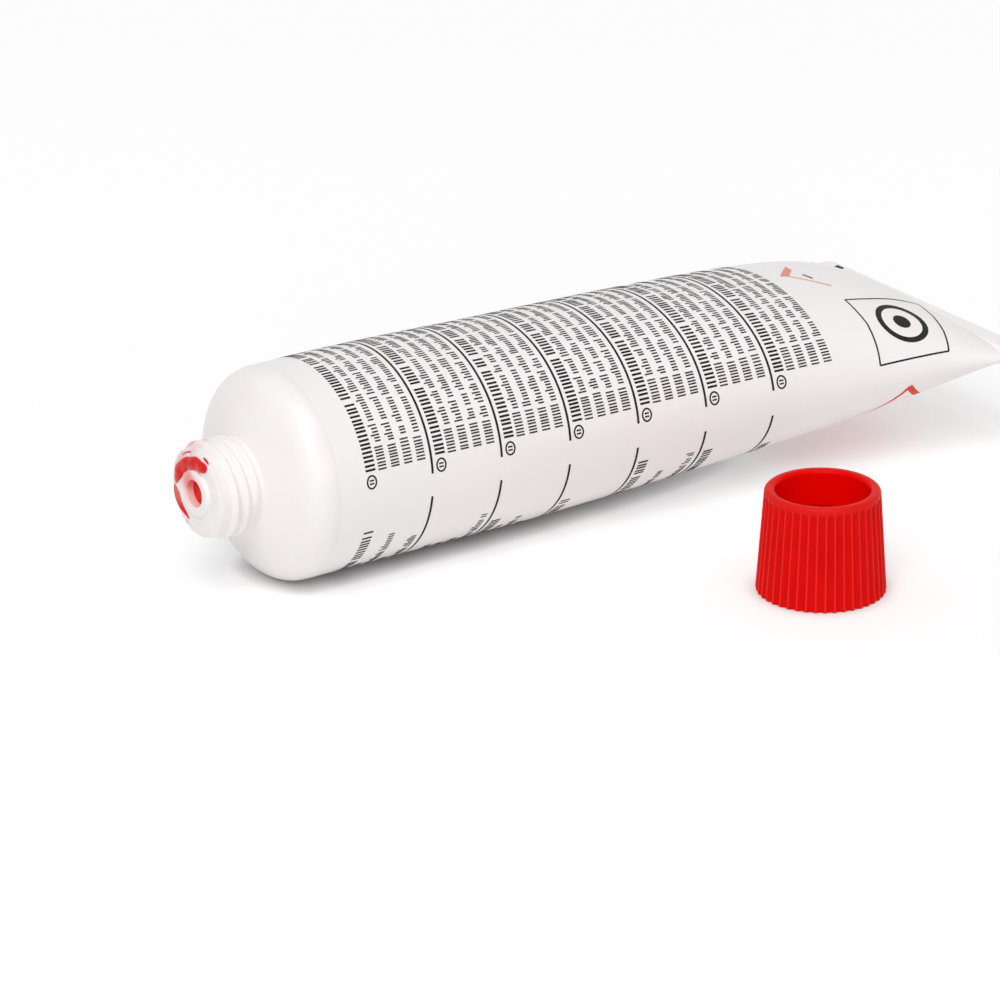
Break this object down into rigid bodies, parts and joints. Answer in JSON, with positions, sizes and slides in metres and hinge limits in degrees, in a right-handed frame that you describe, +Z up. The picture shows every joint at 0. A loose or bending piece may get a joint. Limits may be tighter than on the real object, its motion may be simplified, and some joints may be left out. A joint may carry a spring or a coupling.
{
  "type": "hardener tube",
  "caption": "Round plastic squeeze tube lying on its side with a flat crimped tail, a threaded nozzle filled with red paste, and its fluted screw cap standing beside it.",
  "frame": {"origin": "on the surface the tube lies on, under the middle of the box round tube and cap", "axes": "+X along the tube from nozzle to crimped tail, +Y away from the cap, +Z up"},
  "size_m": [0.1486, 0.0926, 0.035],
  "materials": {
    "sleeve_plastic": "satin",
    "head_plastic": "satin",
    "paste": "wet gloss",
    "cap_plastic": "satin"
  },
  "bodies": {
    "root": {"tube_sleeve": "sleeve_plastic", "tube_head": "head_plastic", "paste_fill": "paste", "paste_smear": "paste", "screw_cap": "cap_plastic"}
  },
  "joints": []
}
